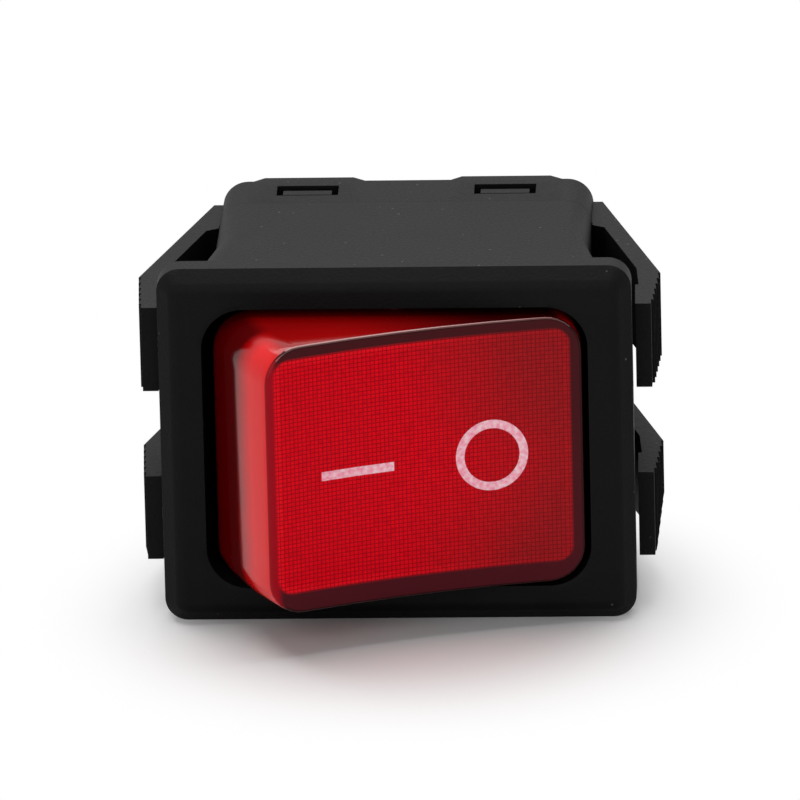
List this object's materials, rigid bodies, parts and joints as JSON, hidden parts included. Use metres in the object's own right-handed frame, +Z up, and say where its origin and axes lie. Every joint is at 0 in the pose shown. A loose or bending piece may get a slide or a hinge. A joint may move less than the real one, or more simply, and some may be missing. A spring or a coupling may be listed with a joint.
{
  "type": "rocker switch",
  "caption": "Black snap-in rocker switch with a raised red translucent rocker, toothed snap arms at both ends and flat quick-connect tabs at the rear",
  "frame": {"origin": "Middle of the bezel's rear face, which seats on the panel", "axes": "+X along the bezel's long side to the end that is pressed in when off, +Y back through the panel, +Z up"},
  "size_m": [0.036, 0.0414, 0.0254],
  "materials": {
    "black_nylon": "fine matte moulding",
    "red_lens": "translucent, polished",
    "white_nylon": "satin",
    "natural_nylon": "satin",
    "spring_steel": "drawn",
    "copper_alloy": "rolled",
    "silver_contact": "satin",
    "brass_tab": "rolled",
    "lamp_glass": "clear",
    "resistor_body": "lacquered",
    "tinned_wire": "tinned"
  },
  "bodies": {
    "body": {"housing": "black_nylon", "base": "black_nylon", "common_terminal_a": "brass_tab", "common_terminal_b": "brass_tab", "load_terminal_a": "brass_tab", "load_terminal_b": "brass_tab", "fixed_contact_a": "silver_contact", "fixed_contact_b": "silver_contact", "lamp_spring_a": "copper_alloy", "lamp_spring_b": "copper_alloy"},
    "rocker": {"rocker_lens": "red_lens", "rocker_carrier": "white_nylon", "plunger_spring_a": "spring_steel", "plunger_spring_b": "spring_steel", "lamp_bulb": "lamp_glass", "lamp_resistor": "resistor_body", "lamp_lead_a": "tinned_wire", "lamp_lead_b": "tinned_wire", "lamp_lead_c": "tinned_wire", "lamp_strip_a": "copper_alloy", "lamp_strip_b": "copper_alloy"},
    "plunger_a": {"plunger_a": "natural_nylon"},
    "plunger_b": {"plunger_b": "natural_nylon"},
    "lever_a": {"contact_lever_a": "copper_alloy", "moving_contact_a": "silver_contact"},
    "lever_b": {"contact_lever_b": "copper_alloy", "moving_contact_b": "silver_contact"}
  },
  "joints": [
    {"name": "rocker_tilt", "type": "hinge", "parent": "body", "child": "rocker", "pos_m": [0, -0.00025, 0], "axis": [0, 0, 1], "range_deg": [-38.4, 0]},
    {"name": "plunger_a_slide", "type": "slide", "parent": "rocker", "child": "plunger_a", "axis": [0.3289, -0.9444, 0], "range_m": [0, 0.0008], "stiffness_N_per_m": 60, "springref_m": -0.001, "deforming": ["plunger_spring_a"]},
    {"name": "plunger_b_slide", "type": "slide", "parent": "rocker", "child": "plunger_b", "axis": [0.3289, -0.9444, 0], "range_m": [0, 0.0008], "stiffness_N_per_m": 60, "springref_m": -0.001, "deforming": ["plunger_spring_b"]},
    {"name": "lever_a_tilt", "type": "hinge", "parent": "body", "child": "lever_a", "pos_m": [0, 0.0138, 0.00505], "axis": [0, 0, 1], "range_deg": [0, 20]},
    {"name": "lever_b_tilt", "type": "hinge", "parent": "body", "child": "lever_b", "pos_m": [0, 0.0138, -0.00505], "axis": [0, 0, 1], "range_deg": [0, 20]}
  ],
  "couplings": [
    {"joint": "lever_a_tilt", "follows": "rocker_tilt", "ratio": -0.5208},
    {"joint": "lever_b_tilt", "follows": "rocker_tilt", "ratio": -0.5208}
  ]
}
